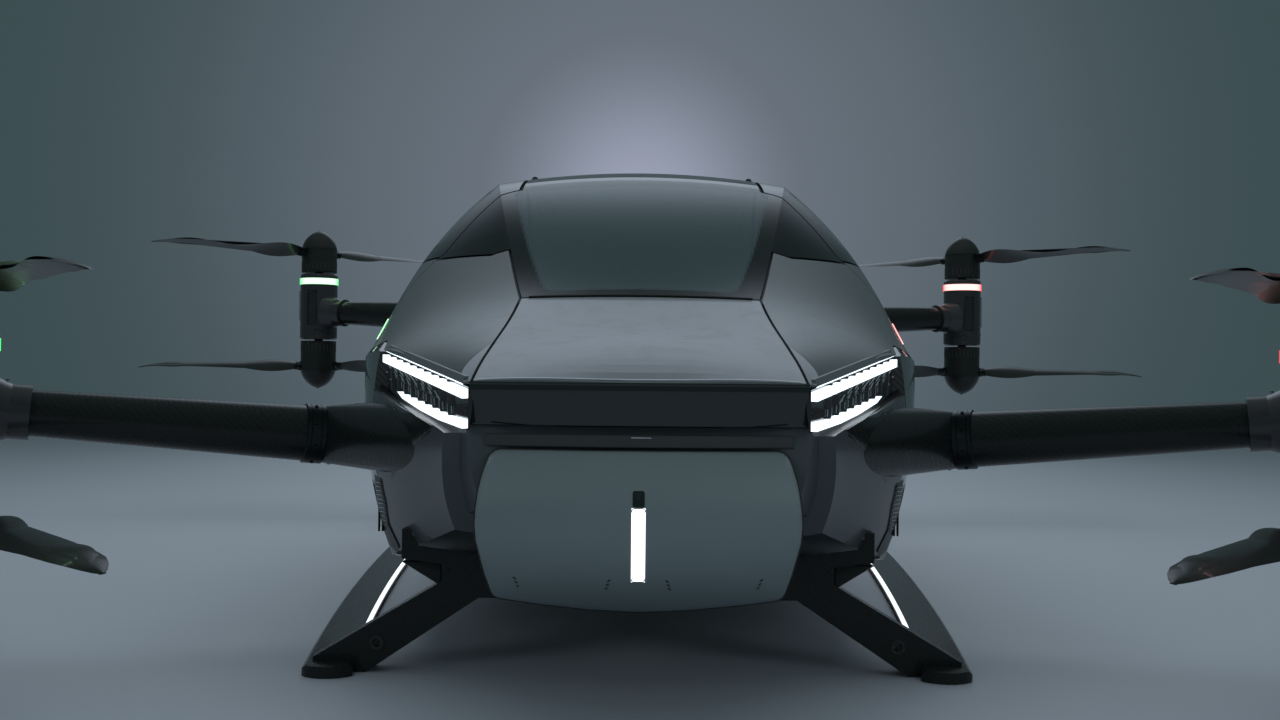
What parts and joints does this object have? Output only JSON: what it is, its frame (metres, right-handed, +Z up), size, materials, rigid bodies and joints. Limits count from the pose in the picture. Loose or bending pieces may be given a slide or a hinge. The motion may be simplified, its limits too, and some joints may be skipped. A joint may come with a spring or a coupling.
{
  "type": "two-seat multirotor flying car on skids",
  "caption": "Closed two-seat multirotor aircraft on skids, with coaxial propellers on four arms, upward-swinging doors and light bars at the nose.",
  "frame": {"origin": "on the ground, midway between the four hub axes", "axes": "+X to the vehicle's left (port), nose towards -Y, +Z up"},
  "size_m": [4.7794, 4.5524, 1.364],
  "materials": {
    "body_paint": "gloss metallic grey",
    "gloss_black": "gloss black",
    "carbon": "lacquered carbon weave",
    "hull_grey": "satin",
    "screen_glass": "tinted",
    "frame_black": "matte black",
    "lamp_housing": "gloss",
    "lamp_white": "lit lens",
    "lamp_red": "lit lens",
    "lamp_green": "lit lens",
    "collar_metal": "dark anodised",
    "pod_shell": "gloss",
    "rotor_black": "satin",
    "skid_carbon": "lacquered",
    "seat_leather": "grained",
    "trim": "fine grain",
    "display_glass": "gloss",
    "battery_case": "matte"
  },
  "bodies": {
    "airframe": {"lower_hull": "hull_grey", "nose_panel": "body_paint", "nose_band": "gloss_black", "nose_light": "lamp_white", "hood": "body_paint", "fender_left": "body_paint", "fender_right": "body_paint", "cheeks": "hull_grey", "side_panels": "carbon", "side_vents": "frame_black", "windscreen": "screen_glass", "windscreen_frame": "frame_black", "roof_panel": "body_paint", "rear_shell": "body_paint", "tail_light": "lamp_red", "headlamp_housings": "lamp_housing", "headlamp_bars": "lamp_white", "arm_front_left": "carbon", "arm_front_right": "carbon", "arm_rear_left": "carbon", "arm_rear_right": "carbon", "arm_collars": "collar_metal", "motor_pod_front_left": "pod_shell", "motor_pod_front_right": "pod_shell", "motor_pod_rear_left": "pod_shell", "motor_pod_rear_right": "pod_shell", "beacons_port": "lamp_red", "beacons_starboard": "lamp_green", "skid_left": "skid_carbon", "skid_right": "skid_carbon", "dashboard": "trim", "display": "display_glass", "console": "trim", "seat_left": "seat_leather", "seat_right": "seat_leather", "battery_pack": "battery_case"},
    "door_left": {"door_left": "body_paint", "door_glass_left": "screen_glass"},
    "door_right": {"door_right": "body_paint", "door_glass_right": "screen_glass"},
    "rotor_front_left_upper": {"rotor_front_left_upper": "rotor_black"},
    "rotor_front_left_lower": {"rotor_front_left_lower": "rotor_black"},
    "rotor_front_right_upper": {"rotor_front_right_upper": "rotor_black"},
    "rotor_front_right_lower": {"rotor_front_right_lower": "rotor_black"},
    "rotor_rear_left_upper": {"rotor_rear_left_upper": "rotor_black"},
    "rotor_rear_left_lower": {"rotor_rear_left_lower": "rotor_black"},
    "rotor_rear_right_upper": {"rotor_rear_right_upper": "rotor_black"},
    "rotor_rear_right_lower": {"rotor_rear_right_lower": "rotor_black"}
  },
  "joints": [
    {"name": "door_left_lift", "type": "hinge", "parent": "airframe", "child": "door_left", "pos_m": [0.36, 0, 1.345], "axis": [0, -1, 0], "range_deg": [0, 75]},
    {"name": "door_right_lift", "type": "hinge", "parent": "airframe", "child": "door_right", "pos_m": [-0.36, 0, 1.345], "axis": [0, 1, 0], "range_deg": [0, 75]},
    {"name": "rotor_front_left_upper_spin", "type": "hinge", "parent": "airframe", "child": "rotor_front_left_upper", "pos_m": [1.54, -1.635, 0.884], "axis": [0, 0, 1], "continuous": true},
    {"name": "rotor_front_left_lower_spin", "type": "hinge", "parent": "airframe", "child": "rotor_front_left_lower", "pos_m": [1.54, -1.635, 0.344], "axis": [0, 0, 1], "continuous": true},
    {"name": "rotor_front_right_upper_spin", "type": "hinge", "parent": "airframe", "child": "rotor_front_right_upper", "pos_m": [-1.54, -1.635, 0.884], "axis": [0, 0, 1], "continuous": true},
    {"name": "rotor_front_right_lower_spin", "type": "hinge", "parent": "airframe", "child": "rotor_front_right_lower", "pos_m": [-1.54, -1.635, 0.344], "axis": [0, 0, 1], "continuous": true},
    {"name": "rotor_rear_left_upper_spin", "type": "hinge", "parent": "airframe", "child": "rotor_rear_left_upper", "pos_m": [1.54, 1.635, 1.259], "axis": [0, 0, 1], "continuous": true},
    {"name": "rotor_rear_left_lower_spin", "type": "hinge", "parent": "airframe", "child": "rotor_rear_left_lower", "pos_m": [1.54, 1.635, 0.719], "axis": [0, 0, 1], "continuous": true},
    {"name": "rotor_rear_right_upper_spin", "type": "hinge", "parent": "airframe", "child": "rotor_rear_right_upper", "pos_m": [-1.54, 1.635, 1.259], "axis": [0, 0, 1], "continuous": true},
    {"name": "rotor_rear_right_lower_spin", "type": "hinge", "parent": "airframe", "child": "rotor_rear_right_lower", "pos_m": [-1.54, 1.635, 0.719], "axis": [0, 0, 1], "continuous": true}
  ]
}
